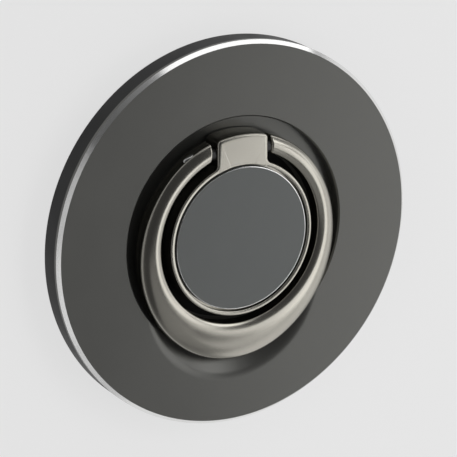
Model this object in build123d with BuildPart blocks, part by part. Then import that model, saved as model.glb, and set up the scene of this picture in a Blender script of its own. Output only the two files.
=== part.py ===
from build123d import *
import os
from math import atan2, cos, degrees, radians, sin, sqrt, tan

# Phone ring holder: a round magnetic base with a finger ring that folds up on a
# hinge and swivels on the base. It lies on its back, with the contact pad on the
# ground, the hinge towards +Y and the thumb scoop towards -Y. Millimetres.

# Base
disc_diameter = 56.0
disc_height = 4.4
edge_chamfer = 0.5
plate_rim_thickness = 1.0
pan_thickness = 0.8
recess_diameter = 34.1
recess_depth = 1.7
recess_edge_break = 0.2

# Thumb scoop: a dish with a straight slope and a rounded edge
scoop_radius = 14.0
scoop_reach = 4.6
scoop_slope = 24.0
scoop_round = 3.0

# Back housing and contact pad
housing_setback = 0.1
housing_wall = 0.9
housing_floor = 0.5
housing_edge_chamfer = 0.3
housing_opening_diameter = 24.0
rib_width = 1.6
pad_thickness = 0.5
pad_proud = 0.2
pad_margin = 1.2
pad_clearance = 0.1

# Magnets and their yoke
magnet_count = 16
magnet_width = 3.9
magnet_gap = 0.3
magnet_clearance = 0.2
pan_clearance = 0.4
yoke_thickness = 0.5

# Swivel hub and what holds it to the plate
hub_diameter = 22.6
hub_height = 2.1
hub_rim_round = 0.2
hub_web = 1.0
inlay_diameter = 20.8
inlay_thickness = 0.8
inlay_clearance = 0.3
inlay_sink = 0.08
inlay_edge_break = 0.1
boss_diameter = 12.0
boss_wall = 1.2
boss_clearance = 0.05
lip_thickness = 0.3
lip_overhang = 0.6
friction_washer_thickness = 0.3
friction_washer_margin = 0.6
disc_spring_thickness = 0.25
disc_spring_height = 0.45
disc_spring_width = 2.6
retaining_washer_thickness = 0.4
retaining_washer_width = 2.0

# Finger ring
ring_gap = 1.3
ring_arm_width = 2.4
ring_lip_width = 5.5
ring_tip_step = 0.8
ring_flare_start = 40.0
ring_top = 1.95
ring_sink = 0.5
ring_crest = 0.3
ring_bore_break = 0.6
ring_outer_break = 0.5
ring_top_slope = 13.0
ring_edge_break = 0.25
ring_end_round = 0.4
lip_clearance = 0.25
lip_relief_slope = 22.0

# Hinge
block_width = 8.0
block_roll = 0.3
pin_diameter = 1.0
pin_height = 0.85
pin_cover = 0.4
pin_fit = 0.01
pin_running_clearance = 0.04
pin_end_sink = 0.1
hinge_washer_thickness = 0.7
hinge_washer_width = 0.35
hinge_washer_play = 0.05

# Radii and heights worked out from the sizes above
disc_radius = disc_diameter / 2
face_z = disc_height
recess_radius = recess_diameter / 2
recess_floor_z = face_z - recess_depth
pan_underside_z = recess_floor_z - pan_thickness
rim_underside_z = face_z - plate_rim_thickness
boss_radius = boss_diameter / 2
plate_bore_radius = boss_radius + boss_clearance

housing_radius = disc_radius - housing_setback
housing_inner_radius = housing_radius - housing_wall
housing_floor_z = pad_thickness + housing_floor
magnet_outer_radius = housing_inner_radius - magnet_clearance
magnet_inner_radius = magnet_outer_radius - magnet_width
pan_radius = magnet_inner_radius - pan_clearance
pad_radius = housing_radius - pad_margin
yoke_z = rim_underside_z - yoke_thickness

hub_radius = hub_diameter / 2
hub_underside_z = recess_floor_z + friction_washer_thickness
hub_top_z = face_z + hub_height
inlay_radius = inlay_diameter / 2
inlay_seat_radius = inlay_radius + inlay_clearance
inlay_seat_z = hub_top_z - inlay_sink - inlay_thickness
boss_core_radius = boss_radius - boss_wall
boss_core_top_z = inlay_seat_z - hub_web
washer_top_z = pan_underside_z - disc_spring_height
lip_top_z = washer_top_z - retaining_washer_thickness
lip_bottom_z = lip_top_z - lip_thickness

ring_bore_radius = hub_radius + ring_gap
ring_arm_radius = ring_bore_radius + ring_arm_width
ring_lip_radius = ring_bore_radius + ring_lip_width
ring_tip_radius = ring_arm_radius - ring_tip_step
ring_crest_radius = ring_bore_radius + ring_bore_break + ring_crest
ring_underside_z = face_z - ring_sink
ring_top_z = face_z + ring_top
arm_end_x = block_width / 2 + hinge_washer_thickness + hinge_washer_play
pin_radius = pin_diameter / 2
pin_y = sqrt(ring_bore_radius**2 - arm_end_x**2) + pin_cover + pin_radius
pin_z = face_z + pin_height
pin_plane = Plane(origin=(0, pin_y, pin_z), x_dir=(0, 1, 0), z_dir=(1, 0, 0))

os.makedirs("parts", exist_ok=True)

# Face plate: a turned plate with a stepped underside, a recess for the hub and
# ring, and a thumb scoop under the ring's lip
with BuildPart() as face_plate:
    with BuildSketch(Plane.XZ) as plate_section:
        with BuildLine():
            Polyline(
                (plate_bore_radius, pan_underside_z),
                (pan_radius, pan_underside_z),
                (pan_radius, rim_underside_z),
                (disc_radius, rim_underside_z),
                (disc_radius, face_z - edge_chamfer),
                (disc_radius - edge_chamfer, face_z),
                (recess_radius + recess_edge_break, face_z),
                (recess_radius, face_z - recess_edge_break),
                (recess_radius, recess_floor_z),
                (plate_bore_radius, recess_floor_z),
                close=True,
            )
        make_face()
    revolve(axis=Axis.Z)

    scoop_y = -(recess_radius + scoop_reach - scoop_radius)
    scoop_angle = radians(scoop_slope)
    slope_top_x = scoop_radius - scoop_round * sin(scoop_angle)
    slope_top_z = face_z - scoop_round * (1 - cos(scoop_angle))
    slope_foot_x = slope_top_x - (slope_top_z - recess_floor_z) / tan(scoop_angle)
    with BuildSketch(Plane.XZ.offset(-scoop_y)) as scoop_section:
        with BuildLine():
            edge_round = RadiusArc((slope_top_x, slope_top_z), (scoop_radius, face_z), scoop_round)
            Polyline(
                edge_round @ 1,
                (scoop_radius, hub_top_z),
                (0, hub_top_z),
                (0, recess_floor_z),
                (slope_foot_x, recess_floor_z),
                edge_round @ 0,
            )
        make_face()
    revolve(axis=Axis((0, scoop_y, 0), (0, 0, 1)), mode=Mode.SUBTRACT)

# Back housing: a moulded tray open at its middle, with a rib under the plate's pan
with BuildPart() as back_housing:
    rib_outer_radius = pan_radius
    rib_inner_radius = rib_outer_radius - rib_width
    pad_seat_radius = pad_radius + pad_clearance
    with BuildSketch(Plane.XZ) as housing_section:
        with BuildLine():
            Polyline(
                (housing_opening_diameter / 2, pad_thickness),
                (pad_seat_radius, pad_thickness),
                (pad_seat_radius, pad_proud),
                (housing_radius - housing_edge_chamfer, pad_proud),
                (housing_radius, pad_proud + housing_edge_chamfer),
                (housing_radius, rim_underside_z),
                (housing_inner_radius, rim_underside_z),
                (housing_inner_radius, housing_floor_z),
                (rib_outer_radius, housing_floor_z),
                (rib_outer_radius, pan_underside_z),
                (rib_inner_radius, pan_underside_z),
                (rib_inner_radius, housing_floor_z),
                (housing_opening_diameter / 2, housing_floor_z),
                close=True,
            )
        make_face()
    revolve(axis=Axis.Z)

# Contact pad: a thin round sheet in the housing's seat, a little proud of it
with BuildPart() as contact_pad:
    with BuildSketch():
        Circle(pad_radius)
    extrude(amount=pad_thickness)

# Yoke ring: flat steel ring between the magnets and the plate's rim
with BuildPart() as yoke_ring:
    with BuildSketch(Plane.XY.offset(yoke_z)):
        Circle(magnet_outer_radius)
        Circle(magnet_inner_radius, mode=Mode.SUBTRACT)
    extrude(amount=yoke_thickness)

# Friction washer: thin washer on the recess floor, under the hub
with BuildPart() as friction_washer:
    with BuildSketch(Plane.XY.offset(recess_floor_z)):
        Circle(hub_radius - friction_washer_margin)
        Circle(plate_bore_radius, mode=Mode.SUBTRACT)
    extrude(amount=friction_washer_thickness)

# Disc spring: coned washer, its outer edge under the plate and its inner edge
# on the retaining washer
with BuildPart() as disc_spring:
    spring_inner_radius = boss_radius + boss_clearance
    spring_outer_radius = spring_inner_radius + disc_spring_width
    with BuildSketch(Plane.XZ) as spring_section:
        with BuildLine():
            Polyline(
                (spring_inner_radius, washer_top_z),
                (spring_outer_radius, pan_underside_z - disc_spring_thickness),
                (spring_outer_radius, pan_underside_z),
                (spring_inner_radius, washer_top_z + disc_spring_thickness),
                close=True,
            )
        make_face()
    revolve(axis=Axis.Z)

# Retaining washer: held up by the hub's spun lip
with BuildPart() as retaining_washer:
    with BuildSketch(Plane.XY.offset(lip_top_z)):
        Circle(boss_radius + boss_clearance + retaining_washer_width)
        Circle(boss_radius + boss_clearance, mode=Mode.SUBTRACT)
    extrude(amount=retaining_washer_thickness)

# Hinge block of the hub: parallel sides, a round end that rolls off at the top
with BuildPart() as hinge_block:
    with BuildSketch(Plane.XY.offset(hub_underside_z)):
        Circle(ring_arm_radius)
        with Locations((0, (inlay_seat_radius + ring_arm_radius) / 2)):
            Rectangle(block_width, ring_arm_radius - boss_radius, mode=Mode.INTERSECT)
    extrude(amount=hub_top_z - hub_underside_z)
    block_end_edges = hinge_block.edges().filter_by(GeomType.CIRCLE).group_by(Axis.Z)[-1]
    fillet(block_end_edges.sort_by(Axis.Y)[-1], radius=block_roll)

# Swivel hub: a casting with a hollow boss through the plate, whose foot is spun
# out into a lip, and the hinge block in one piece with the rim
with BuildPart() as swivel_hub:
    with BuildSketch(Plane.XZ) as hub_section:
        with BuildLine():
            Polyline(
                (0, boss_core_top_z),
                (boss_core_radius, boss_core_top_z),
                (boss_core_radius, lip_bottom_z),
                (boss_radius + lip_overhang, lip_bottom_z),
                (boss_radius + lip_overhang, lip_top_z),
                (boss_radius, lip_top_z),
                (boss_radius, hub_underside_z),
                (hub_radius, hub_underside_z),
                (hub_radius, hub_top_z - hub_rim_round),
                (hub_radius - hub_rim_round, hub_top_z),
                (0, hub_top_z),
                close=True,
            )
        make_face()
    revolve(axis=Axis.Z)
    add(hinge_block.part)
    with BuildSketch(Plane.XY.offset(inlay_seat_z)):
        Circle(inlay_seat_radius)
    extrude(amount=hub_top_z - inlay_seat_z, mode=Mode.SUBTRACT)
    with BuildSketch(pin_plane):
        Circle(pin_radius + pin_running_clearance)
    extrude(amount=block_width, both=True, mode=Mode.SUBTRACT)

# Hub inlay: thin disc bonded into the hub's seat
with BuildPart() as hub_inlay:
    with BuildSketch(Plane.XY.offset(inlay_seat_z)):
        Circle(inlay_radius)
    extrude(amount=inlay_thickness)
    chamfer(hub_inlay.edges().group_by(Axis.Z)[-1], length=inlay_edge_break)

# Finger ring: round beside the hinge and drawn out into a lip over the scoop. Its top
# falls away from a crest near the bore, and the lip's underside steps up by a cone so
# that it clears the recess's edge and the face as it swivels
with BuildPart() as finger_ring:
    flare = radians(ring_flare_start)
    tip_y = ring_lip_radius - ring_tip_radius
    side_offset = (tip_y**2 - ring_tip_step**2) / (2 * (ring_tip_step + tip_y * sin(flare)))
    side_radius = ring_arm_radius + side_offset
    side_x = side_offset * cos(flare)
    side_y = side_offset * sin(flare)
    side_end = degrees(atan2(tip_y - side_y, side_x))
    side_sweep = ring_flare_start + side_end
    with BuildSketch(Plane.XY.offset(ring_underside_z)):
        with BuildLine():
            CenterArc((0, 0), ring_arm_radius, ring_flare_start, 180 - 2 * ring_flare_start)
            CenterArc((side_x, -side_y), side_radius, 180 - ring_flare_start, side_sweep)
            CenterArc((0, -tip_y), ring_tip_radius, 180 + side_end, 180 - 2 * side_end)
            CenterArc((-side_x, -side_y), side_radius, 360 - side_end, side_sweep)
        make_face()
    extrude(amount=ring_top_z - ring_underside_z)

    top_fall = (ring_lip_radius + lip_clearance - ring_crest_radius) * tan(radians(ring_top_slope))
    with BuildSketch(Plane.YZ) as top_section:
        with BuildLine():
            Polyline(
                (ring_crest_radius, ring_top_z),
                (ring_lip_radius + lip_clearance, ring_top_z),
                (ring_lip_radius + lip_clearance, ring_top_z - top_fall),
                close=True,
            )
        make_face()
    revolve(axis=Axis.Z, mode=Mode.SUBTRACT)
    slope_face = finger_ring.faces().filter_by(GeomType.CONE).sort_by(Axis.Z)[-1]
    slope_edges = slope_face.edges().filter_by(GeomType.LINE, reverse=True).sort_by(Axis.Z)
    chamfer(slope_edges[:-1], length=ring_outer_break)
    chamfer(finger_ring.edges().group_by(Axis.Z)[0], length=ring_edge_break)
    with BuildSketch(Plane.XY.offset(ring_underside_z)):
        Circle(ring_bore_radius)
    extrude(amount=ring_top_z - ring_underside_z, mode=Mode.SUBTRACT)
    bore_edges = finger_ring.edges(Select.LAST).filter_by(GeomType.CIRCLE).sort_by(Axis.Z)
    chamfer(bore_edges[-1], length=ring_bore_break)
    chamfer(bore_edges[0], length=ring_edge_break)

    relief_start = recess_radius - (lip_clearance + ring_sink) / tan(radians(lip_relief_slope))
    relief_end = max(ring_lip_radius, recess_radius) + lip_clearance
    with BuildSketch(Plane.XZ) as relief_section:
        with BuildLine():
            Polyline(
                (relief_start, ring_underside_z),
                (relief_end, ring_underside_z),
                (relief_end, face_z + lip_clearance),
                (recess_radius, face_z + lip_clearance),
                close=True,
            )
        make_face()
    revolve(axis=Axis.Z, mode=Mode.SUBTRACT)

    end_shoulder_z = ring_top_z - ring_end_round
    with BuildSketch(Plane.XZ) as gap_section:
        with BuildLine():
            end_shoulder = (arm_end_x, end_shoulder_z)
            end_top = (arm_end_x + ring_end_round, ring_top_z)
            end_round = RadiusArc(end_shoulder, end_top, ring_end_round)
            Polyline(
                end_round @ 1,
                (0, ring_top_z),
                (0, ring_underside_z),
                (arm_end_x, ring_underside_z),
                end_round @ 0,
            )
        make_face()
        mirror(about=Plane.YZ)
    extrude(amount=-ring_arm_radius, mode=Mode.SUBTRACT)
    with BuildSketch(pin_plane):
        Circle(pin_radius + pin_fit)
    extrude(amount=ring_arm_radius, both=True, mode=Mode.SUBTRACT)

# Hinge pin: runs through the block and both arms, its ends ground to the ring's flank
with BuildPart() as hinge_pin:
    with BuildSketch(pin_plane):
        Circle(pin_radius)
    extrude(amount=ring_arm_radius, both=True)
    with BuildSketch():
        Circle(ring_arm_radius - pin_end_sink)
    extrude(amount=hub_top_z, mode=Mode.INTERSECT)

pieces = {
    "face_plate": face_plate,
    "back_housing": back_housing,
    "contact_pad": contact_pad,
    "yoke_ring": yoke_ring,
    "friction_washer": friction_washer,
    "disc_spring": disc_spring,
    "retaining_washer": retaining_washer,
    "swivel_hub": swivel_hub,
    "hub_inlay": hub_inlay,
    "finger_ring": finger_ring,
    "hinge_pin": hinge_pin,
}

# Hinge washers: one on the pin at each end of the ring, against the ring
for side, end_x in (("left", -arm_end_x), ("right", arm_end_x - hinge_washer_thickness)):
    with BuildPart() as hinge_washer:
        with BuildSketch(pin_plane.offset(end_x)):
            Circle(pin_radius + pin_running_clearance + hinge_washer_width)
            Circle(pin_radius + pin_running_clearance, mode=Mode.SUBTRACT)
        extrude(amount=hinge_washer_thickness)
    pieces[f"hinge_washer_{side}"] = hinge_washer

# Magnets: arc blocks between the housing's floor and the yoke, a small gap apart
magnet_pitch = 360 / magnet_count
for index in range(magnet_count):
    gap_angle = magnet_gap / radians(magnet_outer_radius)
    start_angle = index * magnet_pitch + gap_angle / 2
    with BuildPart() as magnet:
        with BuildSketch(Plane.XY.offset(housing_floor_z)):
            with BuildLine():
                outer_arc = CenterArc((0, 0), magnet_outer_radius, start_angle, magnet_pitch - gap_angle)
                inner_arc = CenterArc((0, 0), magnet_inner_radius, start_angle, magnet_pitch - gap_angle)
                Line(outer_arc @ 0, inner_arc @ 0)
                Line(outer_arc @ 1, inner_arc @ 1)
            make_face()
        extrude(amount=yoke_z - housing_floor_z)
    pieces[f"magnet_{index + 1:02d}"] = magnet

for name, piece in pieces.items():
    piece.part.label = name
    export_step(piece.part, f"parts/{name}.step")
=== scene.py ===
from math import asin, atan2, cos, hypot, pi, radians, sin, sqrt, tan, tau

import bmesh
import bpy
from mathutils import Matrix, Quaternion, Vector


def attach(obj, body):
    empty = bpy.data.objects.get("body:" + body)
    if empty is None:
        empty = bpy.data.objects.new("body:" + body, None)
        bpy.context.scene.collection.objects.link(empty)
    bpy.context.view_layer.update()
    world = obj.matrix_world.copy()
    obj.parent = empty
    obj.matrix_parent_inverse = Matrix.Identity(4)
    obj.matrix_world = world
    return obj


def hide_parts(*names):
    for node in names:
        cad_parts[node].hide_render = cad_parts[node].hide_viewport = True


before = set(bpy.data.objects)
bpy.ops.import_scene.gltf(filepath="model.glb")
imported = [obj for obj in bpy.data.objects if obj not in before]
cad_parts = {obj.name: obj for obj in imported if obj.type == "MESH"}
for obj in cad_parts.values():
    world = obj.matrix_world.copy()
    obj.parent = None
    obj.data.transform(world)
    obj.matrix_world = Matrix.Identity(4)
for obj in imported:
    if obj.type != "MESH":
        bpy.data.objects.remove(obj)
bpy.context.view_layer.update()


# Contact pad
# A thin round sheet of black silicone on the back, which grips the surface it is laid on.
# It is die-cut with a soft edge and bonded into a shallow seat in the housing.
mm = 0.001
pad_radius = 26.7
pad_thickness = 0.5
pad_edge = 0.12

weld_gap = 0.001 * mm
match_gap = 0.01 * mm
sharp_angle = radians(35)


def spin_outline(bm, outline, steps=288):
    """Spins a line of (radius, height) points, in millimetres, about the upright axis."""
    points = [bm.verts.new((radius * mm, 0, height * mm)) for radius, height in outline]
    lines = [bm.edges.new(pair) for pair in zip(points, points[1:])]
    bmesh.ops.spin(bm, geom=points + lines, axis=(0, 0, 1), cent=(0, 0, 0), angle=tau,
                   steps=steps, use_merge=True)
    bmesh.ops.remove_doubles(bm, verts=bm.verts, dist=weld_gap)
    bmesh.ops.recalc_face_normals(bm, faces=bm.faces)


def soften(bm, edges, width, segments=3):
    """Rounds edges to a width in millimetres."""
    bmesh.ops.bevel(bm, geom=edges, offset=width * mm, offset_type="OFFSET", segments=segments,
                    profile=0.5, affect="EDGES", clamp_overlap=True, material=-1)


def corner(bm, radius, height):
    """The circular edges that a turned piece has at one (radius, height) of its outline."""
    return [edge for edge in bm.edges if all(
        abs(hypot(vert.co.x, vert.co.y) - radius * mm) < match_gap
        and abs(vert.co.z - height * mm) < match_gap
        for vert in edge.verts)]


def make_piece(bm, name, *materials):
    """Turns a bmesh into a smooth-shaded object whose flat faces stay flat."""
    mesh = bpy.data.meshes.new(name)
    bm.to_mesh(mesh)
    bm.free()
    for material in materials:
        mesh.materials.append(material)
    mesh.shade_smooth()
    mesh.set_sharp_from_angle(angle=sharp_angle)
    piece = bpy.data.objects.new(name, mesh)
    bpy.context.scene.collection.objects.link(piece)
    even_shading = piece.modifiers.new("even_shading", "WEIGHTED_NORMAL")
    even_shading.keep_sharp = True
    return piece


def new_group(name, inputs, outputs):
    """An empty shader node group with number sockets, and its input and output nodes."""
    group = bpy.data.node_groups.new(name, "ShaderNodeTree")
    sockets = group.interface
    for socket, value in inputs.items():
        number = sockets.new_socket(socket, in_out="INPUT", socket_type="NodeSocketFloat")
        number.default_value = value
    for socket in outputs:
        sockets.new_socket(socket, in_out="OUTPUT", socket_type="NodeSocketFloat")
    return group, group.nodes.new("NodeGroupInput"), group.nodes.new("NodeGroupOutput")


def millimetres(tree):
    """The Object coordinate of a node tree, in millimetres."""
    place = tree.nodes.new("ShaderNodeTexCoord")
    scaled = tree.nodes.new("ShaderNodeVectorMath")
    scaled.operation = "SCALE"
    scaled.inputs["Scale"].default_value = 1 / mm
    tree.links.new(place.outputs["Object"], scaled.inputs["Vector"])
    return scaled.outputs["Vector"]


# Fine grain: a blasted or moulded surface, as a height and as a mask of soft, wide patches
fine_grain, grain_in, grain_out = new_group(
    "fine_grain", {"Grains per mm": 6.0, "Patch size mm": 12.0}, ("Height", "Patches"))
grain_place = millimetres(fine_grain)
grain_noise = fine_grain.nodes.new("ShaderNodeTexNoise")
grain_noise.inputs["Detail"].default_value = 2.0
fine_grain.links.new(grain_place, grain_noise.inputs["Vector"])
fine_grain.links.new(grain_in.outputs["Grains per mm"], grain_noise.inputs["Scale"])
fine_grain.links.new(grain_noise.outputs["Fac"], grain_out.inputs["Height"])
patch_scale = fine_grain.nodes.new("ShaderNodeMath")
patch_scale.operation = "DIVIDE"
patch_scale.inputs[0].default_value = 1.0
fine_grain.links.new(grain_in.outputs["Patch size mm"], patch_scale.inputs[1])
patch_noise = fine_grain.nodes.new("ShaderNodeTexNoise")
patch_noise.inputs["Detail"].default_value = 3.0
fine_grain.links.new(grain_place, patch_noise.inputs["Vector"])
fine_grain.links.new(patch_scale.outputs["Value"], patch_noise.inputs["Scale"])
fine_grain.links.new(patch_noise.outputs["Fac"], grain_out.inputs["Patches"])

mask_low = 0.3
mask_high = 0.7


def place_group(material, group, values):
    """Puts a node group into a material, with values for its inputs."""
    node = material.node_tree.nodes.new("ShaderNodeGroup")
    node.node_tree = group
    for socket, value in values.items():
        node.inputs[socket].default_value = value
    return node


def spread_colour(material, mask, dark, light, target):
    """Runs a colour from dark to light over a mask's middle range."""
    ramp = material.node_tree.nodes.new("ShaderNodeValToRGB")
    dark_end, light_end = ramp.color_ramp.elements
    dark_end.position = mask_low
    dark_end.color = (*dark, 1)
    light_end.position = mask_high
    light_end.color = (*light, 1)
    material.node_tree.links.new(mask, ramp.inputs["Fac"])
    material.node_tree.links.new(ramp.outputs["Color"], target)


def spread_value(material, mask, low, high, target):
    """Runs a value from low to high over a mask's middle range."""
    spread = material.node_tree.nodes.new("ShaderNodeMapRange")
    spread.inputs["From Min"].default_value = mask_low
    spread.inputs["From Max"].default_value = mask_high
    spread.inputs["To Min"].default_value = low
    spread.inputs["To Max"].default_value = high
    material.node_tree.links.new(mask, spread.inputs["Value"])
    material.node_tree.links.new(spread.outputs["Result"], target)


def relief(material, height, depth):
    """Bumps the surface by a height pattern of a depth in millimetres."""
    bump = material.node_tree.nodes.new("ShaderNodeBump")
    bump.inputs["Distance"].default_value = depth * mm
    bump.inputs["Strength"].default_value = 1.0
    material.node_tree.links.new(height, bump.inputs["Height"])
    shader = material.node_tree.nodes["Principled BSDF"]
    material.node_tree.links.new(bump.outputs["Normal"], shader.inputs["Normal"])


def new_finish(name, dark, light, roughness, grains_per_mm, patch_mm, grain_depth=0.0,
               metallic=0.0, specular=0.5):
    """A material whose colour and roughness drift in soft patches, over a fine grain."""
    material = bpy.data.materials.new(name)
    material.use_nodes = True
    shader = material.node_tree.nodes["Principled BSDF"]
    shader.inputs["Metallic"].default_value = metallic
    shader.inputs["Specular IOR Level"].default_value = specular
    grain = place_group(material, fine_grain,
                        {"Grains per mm": grains_per_mm, "Patch size mm": patch_mm})
    patches = grain.outputs["Patches"]
    spread_colour(material, patches, dark, light, shader.inputs["Base Color"])
    spread_value(material, patches, *roughness, shader.inputs["Roughness"])
    if grain_depth > 0:
        relief(material, grain.outputs["Height"], grain_depth)
    return material


silicone = new_finish(
    "black_silicone", dark=(0.012, 0.012, 0.013), light=(0.019, 0.019, 0.02),
    roughness=(0.66, 0.78), grains_per_mm=3.0, patch_mm=9.0, grain_depth=0.012, specular=0.3)

pad_mesh = bmesh.new()
spin_outline(pad_mesh, [
    (0, 0),
    (pad_radius, 0),
    (pad_radius, pad_thickness),
    (0, pad_thickness),
])
soften(pad_mesh, corner(pad_mesh, pad_radius, 0), pad_edge)
pad = make_piece(pad_mesh, "pad_sheet", silicone)
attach(pad, "base")
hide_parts("contact_pad")


# Back housing
# A black tray moulded in glass-filled nylon, which holds the magnets and forms the
# side wall under the plate. A rib inside it carries the plate's pan.
housing_radius = 27.9
housing_inner_radius = 27.0
housing_opening_radius = 12.0
housing_foot_z = 0.2
housing_floor_z = 1.0
housing_top_z = 3.4
housing_foot_edge = 0.3
housing_top_edge = 0.06
pad_seat_radius = 26.8
rib_outer_radius = 22.5
rib_inner_radius = 20.9
rib_top_z = 1.9

nylon = new_finish(
    "moulded_nylon", dark=(0.009, 0.009, 0.0095), light=(0.014, 0.014, 0.0145),
    roughness=(0.42, 0.52), grains_per_mm=7.0, patch_mm=5.0, grain_depth=0.006, specular=0.22)

housing_mesh = bmesh.new()
spin_outline(housing_mesh, [
    (housing_opening_radius, pad_thickness),
    (pad_seat_radius, pad_thickness),
    (pad_seat_radius, housing_foot_z),
    (housing_radius, housing_foot_z),
    (housing_radius, housing_top_z),
    (housing_inner_radius, housing_top_z),
    (housing_inner_radius, housing_floor_z),
    (rib_outer_radius, housing_floor_z),
    (rib_outer_radius, rib_top_z),
    (rib_inner_radius, rib_top_z),
    (rib_inner_radius, housing_floor_z),
    (housing_opening_radius, housing_floor_z),
    (housing_opening_radius, pad_thickness),
])
foot_corner = corner(housing_mesh, housing_radius, housing_foot_z)
soften(housing_mesh, foot_corner, housing_foot_edge)
top_corner = corner(housing_mesh, housing_radius, housing_top_z)
soften(housing_mesh, top_corner, housing_top_edge, segments=2)
housing = make_piece(housing_mesh, "housing_tray", nylon)
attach(housing, "base")
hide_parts("back_housing")


# Magnets and yoke
# Sixteen nickel-plated arc magnets sit in the tray, side by side, under a flat ring of
# plain steel that closes their field towards the plate. All are bonded in place.
nickel = new_finish(
    "bright_nickel", dark=(0.5, 0.47, 0.42), light=(0.6, 0.57, 0.52),
    roughness=(0.16, 0.28), grains_per_mm=4.0, patch_mm=3.0, grain_depth=0.002, metallic=1.0)

# Turning lines: fine rings about the upright axis, as a lathe leaves on a faced surface
turning_lines, lines_in, lines_out = new_group(
    "turning_lines", {"Lines per mm": 8.0}, ("Height",))
lines_place = millimetres(turning_lines)
lines_flat = turning_lines.nodes.new("ShaderNodeVectorMath")
lines_flat.operation = "MULTIPLY"
lines_flat.inputs[1].default_value = (1, 1, 0)
turning_lines.links.new(lines_place, lines_flat.inputs[0])
lines_radius = turning_lines.nodes.new("ShaderNodeVectorMath")
lines_radius.operation = "LENGTH"
turning_lines.links.new(lines_flat.outputs["Vector"], lines_radius.inputs[0])
lines_noise = turning_lines.nodes.new("ShaderNodeTexNoise")
lines_noise.noise_dimensions = "1D"
lines_noise.inputs["Detail"].default_value = 1.0
turning_lines.links.new(lines_radius.outputs["Value"], lines_noise.inputs["W"])
turning_lines.links.new(lines_in.outputs["Lines per mm"], lines_noise.inputs["Scale"])
turning_lines.links.new(lines_noise.outputs["Fac"], lines_out.inputs["Height"])


def turn_lines(material, lines_per_mm, depth):
    """Gives a material turning lines of a depth in millimetres."""
    lines = place_group(material, turning_lines, {"Lines per mm": lines_per_mm})
    relief(material, lines.outputs["Height"], depth)


steel = new_finish(
    "plain_washer_steel", dark=(0.36, 0.36, 0.37), light=(0.48, 0.48, 0.48),
    roughness=(0.28, 0.42), grains_per_mm=5.0, patch_mm=4.0, metallic=1.0)
turn_lines(steel, lines_per_mm=9.0, depth=0.004)


def dress(node, material):
    """Gives a CAD node that is shown as it is its finish."""
    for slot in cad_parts[node].material_slots:
        slot.material = material


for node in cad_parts:
    if node.startswith("magnet_"):
        dress(node, nickel)
dress("yoke_ring", steel)


# Face plate
# A round aluminium plate, turned with a recess for the hub and ring and milled with a
# dished thumb scoop, blasted and anodised gunmetal. Its rim is then cut bright. The recess
# floor under the hub is coloured flat black as painted shade for the dark gap between hub and
# ring.
plate_radius = 28.0
plate_face_z = 4.4
plate_rim_underside_z = 3.4
plate_chamfer = 0.5
pan_radius = 22.5
pan_underside_z = 1.9
recess_radius = 17.05
recess_floor_z = 2.7
recess_edge = 0.2
plate_bore_radius = 6.05
painted_shade_radius = 12.5
scoop_radius = 14.0
scoop_y = -7.65
scoop_slope = radians(24)
scoop_round = 3.0
face_step = 0.13
face_step_count = 42

gunmetal = new_finish(
    "blasted_gunmetal", dark=(0.122, 0.122, 0.114), light=(0.135, 0.135, 0.126),
    roughness=(0.28, 0.33), grains_per_mm=9.0, patch_mm=14.0, grain_depth=0.002, metallic=0.55)
bright_cut = new_finish(
    "bright_cut_aluminium", dark=(0.8, 0.8, 0.79), light=(0.88, 0.88, 0.87),
    roughness=(0.12, 0.18), grains_per_mm=2.0, patch_mm=6.0, metallic=1.0)
turn_lines(bright_cut, lines_per_mm=14.0, depth=0.001)
# Painted shade: a flat black for the recess floor under the hub, standing for the shade in the
# gap between hub and ring
painted_shade_film = new_finish(
    "painted_shade_black", dark=(0.006, 0.006, 0.0065), light=(0.011, 0.011, 0.011),
    roughness=(0.6, 0.7), grains_per_mm=8.0, patch_mm=3.0, grain_depth=0.003, specular=0.2)

# The face beside the recess is cut into narrow circles, for the scoop to sink
face_radii = [recess_radius + recess_edge + face_step * step for step in range(face_step_count)]
plate_mesh = bmesh.new()
spin_outline(plate_mesh, [
    (plate_bore_radius, pan_underside_z),
    (pan_radius, pan_underside_z),
    (pan_radius, plate_rim_underside_z),
    (plate_radius, plate_rim_underside_z),
    (plate_radius, plate_face_z - plate_chamfer),
    (plate_radius - plate_chamfer, plate_face_z),
    *[(radius, plate_face_z) for radius in reversed(face_radii)],
    (recess_radius, plate_face_z - recess_edge),
    (recess_radius, recess_floor_z),
    (painted_shade_radius, recess_floor_z),
    (plate_bore_radius, recess_floor_z),
    (plate_bore_radius, pan_underside_z),
], steps=384)


def scoop_height(distance):
    """Height of the scoop's surface at a distance from its centre, in millimetres."""
    slope_top = scoop_radius - scoop_round * sin(scoop_slope)
    if distance > slope_top:
        rise = sqrt(max(scoop_round**2 - (scoop_radius - distance)**2, 0))
        return plate_face_z - scoop_round + rise
    slope_top_z = plate_face_z - scoop_round * (1 - cos(scoop_slope))
    return max(recess_floor_z, slope_top_z - (slope_top - distance) * tan(scoop_slope))


for vert in plate_mesh.verts:
    distance = hypot(vert.co.x, vert.co.y - scoop_y * mm) / mm
    over_pan = vert.co.xy.length < pan_radius * mm - weld_gap
    if over_pan and distance < scoop_radius and vert.co.z > recess_floor_z * mm:
        vert.co.z = min(vert.co.z, scoop_height(distance) * mm)
for face in plate_mesh.faces:
    middle = face.calc_center_median()
    on_floor = abs(middle.z - recess_floor_z * mm) < weld_gap
    above_wall = middle.z > (plate_face_z - plate_chamfer) * mm
    if above_wall and middle.xy.length > (plate_radius - plate_chamfer) * mm:
        face.material_index = 1
    # Floor faces under the hub take the painted shade
    elif on_floor and middle.xy.length < painted_shade_radius * mm:
        face.material_index = 2
plate = make_piece(plate_mesh, "plate_disc", gunmetal, bright_cut, painted_shade_film)
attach(plate, "base")
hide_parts("face_plate")


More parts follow.
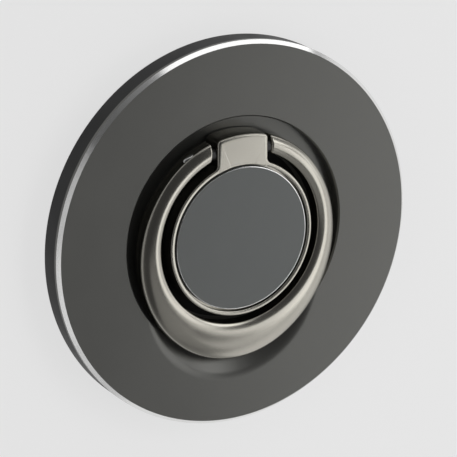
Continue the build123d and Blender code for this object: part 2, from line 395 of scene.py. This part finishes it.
# Washers and disc spring of the swivel
# An acetal washer carries the hub on the recess floor. Under the plate a coned spring
# washer and a flat steel washer, held by the hub's spun lip, give the turn its drag.
acetal = new_finish(
    "black_acetal", dark=(0.02, 0.02, 0.021), light=(0.03, 0.03, 0.031),
    roughness=(0.38, 0.5), grains_per_mm=5.0, patch_mm=4.0, grain_depth=0.003, specular=0.4)

dress("friction_washer", acetal)
dress("disc_spring", steel)
dress("retaining_washer", steel)


# Swivel hub
# A zinc casting in the recess, polished and plated gunmetal: a round rim with the hinge
# block in one piece, and a hollow boss through the plate whose foot is spun into a lip.
hub_radius = 11.3
hub_underside_z = 3.0
hub_top_z = 6.5
hub_edge = 0.14
block_half_width = 4.0
block_reach = 15.15
block_roll = 0.35
block_corner = 0.65
block_root = 0.8
block_pole_share = 0.8
roll_steps = 6
flat_border_share = 0.6
inlay_seat_radius = 10.7
inlay_seat_z = 5.62
boss_radius = 6.0
boss_core_radius = 4.8
boss_core_top_z = 4.62
lip_radius = 6.6
lip_top_z = 1.05
lip_bottom_z = 0.75

polished = new_finish(
    "polished_gunmetal_plate", dark=(0.41, 0.395, 0.35), light=(0.45, 0.433, 0.385),
    roughness=(0.2, 0.25), grains_per_mm=5.0, patch_mm=7.0, grain_depth=0.0015, metallic=1.0)

# Centres and ends of the arcs at the block's roots and corners
root_x = block_half_width + block_root
root_y = sqrt((hub_radius + block_root)**2 - root_x**2)
root_sweep = atan2(root_y, root_x)
root_bearing = pi / 2 - root_sweep
root_end_x = hub_radius * cos(root_sweep)
root_end_y = hub_radius * sin(root_sweep)
corner_x = block_half_width - block_corner
corner_y = sqrt((block_reach - block_corner)**2 - corner_x**2)
corner_sweep = atan2(corner_y, corner_x)
corner_end_x = block_reach * cos(corner_sweep)
corner_end_y = block_reach * sin(corner_sweep)

# The block's outline is drawn in to a circle by its bearing from a pole inside the rim
block_pole_y = block_pole_share * hub_radius
root_turn = atan2(root_end_x, root_end_y - block_pole_y)


def arc_wire(bm, start, centre, sweep, steps):
    """Draws an arc about an upright line at the hub's underside; returns its two ends."""
    first = bm.verts.new((start[0] * mm, start[1] * mm, hub_underside_z * mm))
    middle = (centre[0] * mm, centre[1] * mm, hub_underside_z * mm)
    arc = bmesh.ops.spin(bm, geom=[first], axis=(0, 0, 1), cent=middle, angle=sweep, steps=steps)
    return first, arc["geom_last"][0]


def extrude(bm, edges):
    """Extrudes edges in place; returns the new vertices and the new edges."""
    grown = bmesh.ops.extrude_edge_only(bm, edges=edges)["geom"]
    new_verts = [item for item in grown if isinstance(item, bmesh.types.BMVert)]
    new_edges = [item for item in grown if isinstance(item, bmesh.types.BMEdge)]
    return new_verts, new_edges


def at_bearing(radius, bearing, height):
    """The point at a radius, a bearing from +Y and a height in millimetres."""
    return (-radius * sin(bearing) * mm, radius * cos(bearing) * mm, height * mm)


def draw_in(bm, edges, radius, height):
    """Extrudes the hub's outline, or a circle drawn from it, to a circle at a height."""
    new_verts, new_edges = extrude(bm, edges)
    for vert in new_verts:
        bearing = atan2(-vert.co.x, vert.co.y)
        if vert.co.xy.length > hub_radius * mm + match_gap:
            turn = atan2(-vert.co.x, vert.co.y - block_pole_y * mm)
            bearing = turn * root_bearing / root_turn
        vert.co = at_bearing(radius, bearing, height)
    return new_edges


hub_mesh = bmesh.new()
roll_size = hub_mesh.verts.layers.float.new("roll_size")
roll_way = hub_mesh.verts.layers.float_vector.new("roll_way")
arc_wire(hub_mesh, (-root_end_x, root_end_y), (0, 0), tau - 2 * root_bearing, steps=240)
arc_wire(hub_mesh, (corner_end_x, corner_end_y), (0, 0), pi - 2 * corner_sweep, steps=32)
_, right_root = arc_wire(
    hub_mesh, (root_end_x, root_end_y), (root_x, root_y), -root_sweep, steps=7)
left_root, _ = arc_wire(
    hub_mesh, (-block_half_width, root_y), (-root_x, root_y), -root_sweep, steps=7)
right_corner, _ = arc_wire(
    hub_mesh, (block_half_width, corner_y), (corner_x, corner_y), corner_sweep, steps=6)
_, left_corner = arc_wire(
    hub_mesh, (-corner_end_x, corner_end_y), (-corner_x, corner_y), corner_sweep, steps=6)
hub_mesh.edges.new((left_root, left_corner))
hub_mesh.edges.new((right_root, right_corner))
bmesh.ops.remove_doubles(hub_mesh, verts=hub_mesh.verts, dist=weld_gap)

# The walls stop short of the top by the size of the rolled edge, which grows on the block
foot_outline = hub_mesh.edges[:]
wall_verts, top_outline = extrude(hub_mesh, foot_outline)
for vert in wall_verts:
    block_share = min(max((vert.co.xy.length / mm - hub_radius) / block_root, 0), 1)
    vert[roll_size] = (hub_edge + (block_roll - hub_edge) * block_share) * mm
    vert[roll_way] = Vector((0, 0, 0))
    for edge in vert.link_edges:
        if edge in top_outline:
            along = edge.other_vert(vert).co - vert.co
            inward = Vector((along.y, -along.x, 0)).normalized()
            vert[roll_way] += -inward if inward.dot(vert.co) > 0 else inward
    vert[roll_way] = vert[roll_way].normalized()
    vert.co.z = hub_top_z * mm - vert[roll_size]
for step in range(roll_steps):
    before = pi / 2 * step / roll_steps
    after = pi / 2 * (step + 1) / roll_steps
    rolled, top_outline = extrude(hub_mesh, top_outline)
    for vert in rolled:
        vert.co += vert[roll_way] * vert[roll_size] * (cos(before) - cos(after))
        vert.co.z += vert[roll_size] * (sin(after) - sin(before))
flat_border, top_outline = extrude(hub_mesh, top_outline)
for vert in flat_border:
    vert.co += vert[roll_way] * vert[roll_size] * flat_border_share

seat_rim = draw_in(hub_mesh, top_outline, inlay_seat_radius, hub_top_z)
seat_floor = draw_in(hub_mesh, seat_rim, inlay_seat_radius, inlay_seat_z)
bmesh.ops.contextual_create(hub_mesh, geom=seat_floor)
boss = foot_outline
for radius, height in (
    (boss_radius, hub_underside_z),
    (boss_radius, lip_top_z),
    (lip_radius, lip_top_z),
    (lip_radius, lip_bottom_z),
    (boss_core_radius, lip_bottom_z),
    (boss_core_radius, boss_core_top_z),
):
    boss = draw_in(hub_mesh, boss, radius, height)
bmesh.ops.contextual_create(hub_mesh, geom=boss)
bmesh.ops.recalc_face_normals(hub_mesh, faces=hub_mesh.faces)

hub_mesh.verts.layers.float.remove(roll_size)
hub_mesh.verts.layers.float_vector.remove(roll_way)
soften(hub_mesh, corner(hub_mesh, inlay_seat_radius, hub_top_z), hub_edge)
hub = make_piece(hub_mesh, "hub_casting", polished)
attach(hub, "hub")
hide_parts("swivel_hub")


# Hub inlay
# A thin aluminium disc, blasted and anodised a cool grey, with its edge cut bright. It is
# bonded into the hub's seat with a fine gap round it.
inlay_radius = 10.4
inlay_top_z = 6.42
inlay_edge = 0.12

grey_anodised = new_finish(
    "grey_anodised", dark=(0.175, 0.183, 0.18), light=(0.19, 0.199, 0.195),
    roughness=(0.47, 0.53), grains_per_mm=10.0, patch_mm=8.0, grain_depth=0.002, metallic=0.55)

inlay_mesh = bmesh.new()
spin_outline(inlay_mesh, [
    (0, inlay_seat_z),
    (inlay_radius, inlay_seat_z),
    (inlay_radius, inlay_top_z),
    (0, inlay_top_z),
])
soften(inlay_mesh, corner(inlay_mesh, inlay_radius, inlay_top_z), inlay_edge, segments=2)
for face in inlay_mesh.faces:
    middle = face.calc_center_median()
    above_wall = middle.z > (inlay_top_z - inlay_edge) * mm
    if above_wall and middle.xy.length > (inlay_radius - inlay_edge) * mm:
        face.material_index = 1
inlay = make_piece(inlay_mesh, "inlay_disc", grey_anodised, bright_cut)
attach(inlay, "hub")
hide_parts("hub_inlay")


# Finger ring
# A zinc casting like the hub, with a domed section, round beside the hinge and drawn out
# into a lip over the scoop. Its two ends take the hinge pin.
ring_bore_radius = 12.6
ring_arm_radius = 15.0
ring_top_z = 6.35
ring_underside_z = 3.9
ring_inner_width = 1.05
ring_inner_slope = radians(28)
ring_inner_round = 0.25
ring_dome_slope = radians(42)
ring_outer_round = 0.4
ring_edge_break = 0.25
ring_end_x = 4.75
ring_end_round = 0.3
ring_lip_radius = 18.1
ring_tip_radius = 14.2
ring_flare_start = radians(40)
ring_lip_start = radians(30)
ring_lip_drop = 1.6
underside_widths = (1.8, 0.9)
relief_start = 15.194
relief_slope = radians(22)
relief_top_z = 4.65
ring_sweep = radians(330)


def ring_reach(bearing):
    """Outer radius of the ring at a bearing from +Y: arcs of three radii that join."""
    across = abs(sin(bearing))
    along = cos(bearing)
    tip_y = ring_lip_radius - ring_tip_radius
    step = ring_arm_radius - ring_tip_radius
    side_offset = (tip_y**2 - step**2) / (2 * (step + tip_y * sin(ring_flare_start)))
    side_x = side_offset * cos(ring_flare_start)
    side_y = side_offset * sin(ring_flare_start)
    side_end = atan2(tip_y - side_y, side_x)
    tip_end = atan2(-ring_tip_radius * sin(side_end) - tip_y, ring_tip_radius * cos(side_end))
    if atan2(along, across) > ring_flare_start:
        return ring_arm_radius
    if atan2(along, across) < tip_end:
        return sqrt(ring_tip_radius**2 - (across * tip_y)**2) - along * tip_y
    inset = across * side_x + along * side_y
    return sqrt((ring_arm_radius + side_offset)**2 + inset**2 - side_offset**2) - inset


def lip_share(bearing):
    """How far the ring's section has turned into the lip's: 0 beside the hinge, 1 in the lip."""
    past_flare = ring_flare_start - atan2(cos(bearing), abs(sin(bearing)))
    share = min(max(past_flare / (ring_flare_start + ring_lip_start), 0), 1)
    return share * share * (3 - 2 * share)


def section_arc(bm, start, centre, turn, steps):
    """Draws an arc of the ring's section, upright through the hinge; returns its two ends."""
    first = bm.verts.new((0, start[0] * mm, start[1] * mm))
    middle = (0, centre[0] * mm, centre[1] * mm)
    arc = bmesh.ops.spin(bm, geom=[first], axis=(1, 0, 0), cent=middle, angle=turn, steps=steps)
    return first, arc["geom_last"][0]


# The section as it is beside the hinge, from the bore over the crest to the outer wall
crest_radius = ring_bore_radius + ring_inner_width
inner_width = ring_inner_width - ring_inner_round * (1 - sin(ring_inner_slope))
inner_radius = inner_width / sin(ring_inner_slope)
inner_foot_z = ring_top_z - inner_radius * (1 - cos(ring_inner_slope))
bore_top_z = inner_foot_z - ring_inner_round * cos(ring_inner_slope)
dome_width = ring_arm_radius - crest_radius - ring_outer_round * (1 - sin(ring_dome_slope))
dome_radius = dome_width / sin(ring_dome_slope)
dome_foot_z = ring_top_z - dome_radius * (1 - cos(ring_dome_slope))
shoulder_z = dome_foot_z - ring_outer_round * cos(ring_dome_slope)

ring_mesh = bmesh.new()
bore_top, _ = section_arc(
    ring_mesh, (ring_bore_radius, bore_top_z), (ring_bore_radius + ring_inner_round, bore_top_z),
    ring_inner_slope - pi / 2, steps=5)
section_arc(
    ring_mesh, (crest_radius - inner_width, inner_foot_z),
    (crest_radius, ring_top_z - inner_radius), -ring_inner_slope, steps=8)
section_arc(
    ring_mesh, (crest_radius, ring_top_z), (crest_radius, ring_top_z - dome_radius),
    -ring_dome_slope, steps=10)
_, wall_top = section_arc(
    ring_mesh, (crest_radius + dome_width, dome_foot_z),
    (ring_arm_radius - ring_outer_round, shoulder_z), ring_dome_slope - pi / 2, steps=5)
underside = [ring_mesh.verts.new((0, radius * mm, height * mm)) for radius, height in (
    (ring_arm_radius, ring_underside_z + ring_edge_break),
    (ring_arm_radius - ring_edge_break, ring_underside_z),
    *[(ring_bore_radius + width, ring_underside_z) for width in underside_widths],
    (ring_bore_radius + ring_edge_break, ring_underside_z),
    (ring_bore_radius, ring_underside_z + ring_edge_break),
)]
for pair in zip([wall_top] + underside, underside + [bore_top]):
    ring_mesh.edges.new(pair)
bmesh.ops.remove_doubles(ring_mesh, verts=ring_mesh.verts, dist=weld_gap)
section = ring_mesh.verts[:] + ring_mesh.edges[:]
bmesh.ops.spin(ring_mesh, geom=section, axis=(0, 0, 1), cent=(0, 0, 0), angle=ring_sweep,
               steps=220)

# The plain sweep is then spread to flat ends beside the block and drawn out to the lip
for vert in ring_mesh.verts:
    radius = vert.co.xy.length / mm
    turn = (atan2(-vert.co.x, vert.co.y) % tau) / ring_sweep
    end_bearing = asin(ring_end_x / radius)
    bearing = end_bearing + turn * (tau - 2 * end_bearing)
    height = vert.co.z / mm
    if radius > crest_radius:
        drop = 1 + (ring_lip_drop - 1) * lip_share(bearing)
        height = ring_top_z - (ring_top_z - height) * drop
        reach = ring_reach(bearing) - crest_radius
        radius = crest_radius + (radius - crest_radius) * reach / (ring_arm_radius - crest_radius)
    relief_z = min(ring_underside_z + (radius - relief_start) * tan(relief_slope), relief_top_z)
    vert.co = at_bearing(radius, bearing, max(height, ring_underside_z, relief_z))
open_edges = [edge for edge in ring_mesh.edges if edge.is_boundary]
ends = bmesh.ops.holes_fill(ring_mesh, edges=open_edges, sides=0)
bmesh.ops.recalc_face_normals(ring_mesh, faces=ring_mesh.faces)
soften(ring_mesh, [edge for face in ends["faces"] for edge in face.edges], ring_end_round)
ring = make_piece(ring_mesh, "ring_loop", polished)
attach(ring, "ring")
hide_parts("finger_ring")


# Hinge pin and its washers
# A ground steel pin through the block and both arms of the ring, pressed into the arms,
# with one end domed and the other dressed flush. A washer each side keeps the arms apart.
pin_radius = 0.5
pin_y = 12.5704
pin_z = 5.25
pin_half_length = 8.0
pin_dome = 0.3
pin_end_circles = (0, 0.12, 0.24, 0.36, 0.44, pin_radius)

pin_steel = new_finish(
    "ground_pin_steel", dark=(0.62, 0.62, 0.61), light=(0.72, 0.72, 0.7),
    roughness=(0.14, 0.24), grains_per_mm=12.0, patch_mm=1.5, grain_depth=0.001, metallic=1.0)


def flank_radius(height):
    """Radius of the ring's outer flank beside the hinge at a height, in millimetres."""
    if height < shoulder_z:
        return ring_arm_radius
    if height < dome_foot_z:
        edge_width = sqrt(ring_outer_round**2 - (height - shoulder_z)**2)
        return ring_arm_radius - ring_outer_round + edge_width
    return crest_radius + sqrt(dome_radius**2 - (height - ring_top_z + dome_radius)**2)


pin_outline = [
    *[(-pin_half_length, radius) for radius in pin_end_circles],
    *[(pin_half_length, radius) for radius in reversed(pin_end_circles)],
]
pin_mesh = bmesh.new()
pin_points = [
    pin_mesh.verts.new((x * mm, (pin_y + radius) * mm, pin_z * mm)) for x, radius in pin_outline]
pin_lines = [pin_mesh.edges.new(pair) for pair in zip(pin_points, pin_points[1:])]
bmesh.ops.spin(pin_mesh, geom=pin_points + pin_lines, axis=(1, 0, 0),
               cent=(0, pin_y * mm, pin_z * mm), angle=tau, steps=48, use_merge=True)
bmesh.ops.remove_doubles(pin_mesh, verts=pin_mesh.verts, dist=weld_gap)
bmesh.ops.recalc_face_normals(pin_mesh, faces=pin_mesh.faces)
for vert in pin_mesh.verts:
    from_axis = hypot(vert.co.y - pin_y * mm, vert.co.z - pin_z * mm) / mm
    dome = pin_dome * (1 - (from_axis / pin_radius)**2) if vert.co.x < 0 else 0
    end_radius = (flank_radius(vert.co.z / mm) + dome) * mm
    end_x = sqrt(end_radius**2 - vert.co.y**2)
    vert.co.x = end_x if vert.co.x > 0 else -end_x
pin = make_piece(pin_mesh, "pin_rod", pin_steel)
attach(pin, "ring")
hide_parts("hinge_pin")

dark_steel = new_finish(
    "blackened_steel", dark=(0.05, 0.05, 0.05), light=(0.08, 0.08, 0.08),
    roughness=(0.35, 0.5), grains_per_mm=9.0, patch_mm=1.0, grain_depth=0.002, metallic=1.0)
dress("hinge_washer_left", dark_steel)
dress("hinge_washer_right", dark_steel)


# Studio
# A pale floor under the part, soft boxes round it and a long lens from above, to the
# side of the hinge. Places and sizes here are in metres.
floor_size = 3.0
floor_drop = 0.02 * mm
floor_glow = (0.95, 0.95, 0.95, 1)
floor_glow_share = 0.72
wall_strength = 0.36
ceiling_strength = 0.065
wall_top = radians(24)
ceiling_start = radians(36)
surround_colour = (0.99, 0.99, 1, 1)

floor_material = new_finish(
    "pale_floor", dark=(0.8, 0.8, 0.8), light=(0.83, 0.83, 0.83),
    roughness=(0.7, 0.8), grains_per_mm=0.5, patch_mm=200.0, specular=0.2)
floor_nodes = floor_material.node_tree.nodes
floor_links = floor_material.node_tree.links
floor_shader = floor_nodes["Principled BSDF"]
glow = floor_nodes.new("ShaderNodeEmission")
glow.inputs["Color"].default_value = floor_glow
seen = floor_nodes.new("ShaderNodeLightPath")
seen_directly = floor_nodes.new("ShaderNodeMath")
seen_directly.operation = "MAXIMUM"
floor_links.new(seen.outputs["Is Camera Ray"], seen_directly.inputs[0])
floor_links.new(seen.outputs["Is Glossy Ray"], seen_directly.inputs[1])
seen_at_all = floor_nodes.new("ShaderNodeMath")
seen_at_all.operation = "MAXIMUM"
floor_links.new(seen_directly.outputs["Value"], seen_at_all.inputs[0])
floor_links.new(seen.outputs["Is Transmission Ray"], seen_at_all.inputs[1])
glow_share = floor_nodes.new("ShaderNodeMath")
glow_share.operation = "MULTIPLY"
glow_share.inputs[1].default_value = floor_glow_share
floor_links.new(seen_at_all.outputs["Value"], glow_share.inputs[0])
floor_mix = floor_nodes.new("ShaderNodeMixShader")
floor_links.new(glow_share.outputs["Value"], floor_mix.inputs["Fac"])
floor_links.new(floor_shader.outputs["BSDF"], floor_mix.inputs[1])
floor_links.new(glow.outputs["Emission"], floor_mix.inputs[2])
floor_links.new(floor_mix.outputs["Shader"], floor_nodes["Material Output"].inputs["Surface"])
floor_mesh = bmesh.new()
bmesh.ops.create_grid(floor_mesh, x_segments=8, y_segments=8, size=floor_size / 2)
bmesh.ops.translate(floor_mesh, verts=floor_mesh.verts, vec=(0, 0, -floor_drop))
floor = make_piece(floor_mesh, "studio_floor", floor_material)

# Pale walls that fade into a dark ceiling
world = bpy.data.worlds.new("studio_surround")
world.use_nodes = True
world_nodes = world.node_tree.nodes
world_links = world.node_tree.links
outlook = world_nodes.new("ShaderNodeTexCoord")
outlook_parts = world_nodes.new("ShaderNodeSeparateXYZ")
wall_fade = world_nodes.new("ShaderNodeMapRange")
wall_fade.interpolation_type = "SMOOTHSTEP"
wall_fade.inputs["From Min"].default_value = sin(wall_top)
wall_fade.inputs["From Max"].default_value = sin(ceiling_start)
wall_fade.inputs["To Min"].default_value = wall_strength
wall_fade.inputs["To Max"].default_value = ceiling_strength
surround = world_nodes["Background"]
surround.inputs["Color"].default_value = surround_colour
world_links.new(outlook.outputs["Generated"], outlook_parts.inputs["Vector"])
world_links.new(outlook_parts.outputs["Z"], wall_fade.inputs["Value"])
world_links.new(wall_fade.outputs["Result"], surround.inputs["Strength"])
bpy.context.scene.world = world


def soft_box(name, place, width, height, radiance, tilt=0):
    """A rectangular lamp that faces the part, of a given brightness seen head-on.

    Its power is spread over four times its area. The tilt is in degrees.
    """
    lamp = bpy.data.lights.new(name, "AREA")
    lamp.shape = "RECTANGLE"
    lamp.size = width
    lamp.size_y = height
    lamp.energy = 4 * width * height * radiance
    facing = Vector(place).to_track_quat("Z", "Y")
    holder = bpy.data.objects.new(name, lamp)
    holder.location = place
    holder.rotation_euler = (facing @ Quaternion((0, 0, 1), radians(tilt))).to_euler()
    bpy.context.scene.collection.objects.link(holder)


soft_box("main_box", (0.2420, -0.0832, 0.2783), 0.21, 0.138, 1.3)
soft_box("lip_box", (0.23, -0.2515, 0.293), 0.18, 0.09, 0.62)
soft_box("side_box", (0.3112, -0.1497, 0.1253), 0.56, 0.218, 0.48)
soft_box("front_box", (0.038, -0.274, 0.352), 0.25, 0.29, 0.2)
soft_box("back_box", (0.24, 0.148, 0.284), 0.2, 0.14, 1.7)
soft_box("scoop_box", (0.337, 0.035, 0.205), 0.14, 0.12, 0.6)
soft_box("back_strip", (0.382, 0.647, 0.277), 1.06, 0.16, 0.85, tilt=23)
soft_box("left_strip", (-0.687, -0.175, 0.4), 1.67, 0.07, 0.45, tilt=-13)
soft_box("front_strip", (-0.128, -0.768, 0.096), 0.6, 0.08, 0.35, tilt=-24)

eye = Vector((-0.36019, 0.24171, 0.61587))
aim = Vector((-0.00095, 0.00095, 0.0044))
picture_up = Vector((0.14598, 0.94807, -0.28259))
back = (eye - aim).normalized()
right = picture_up.cross(back).normalized()
lens = bpy.data.cameras.new("long_lens")
lens.sensor_width = 36.0
lens.lens = 423.0
lens.clip_end = 20.0
camera = bpy.data.objects.new("long_lens", lens)
camera.matrix_world = Matrix((right, back.cross(right), back)).transposed().to_4x4()
camera.location = eye
bpy.context.scene.collection.objects.link(camera)
bpy.context.scene.camera = camera

bpy.context.scene.view_settings.view_transform = "Standard"
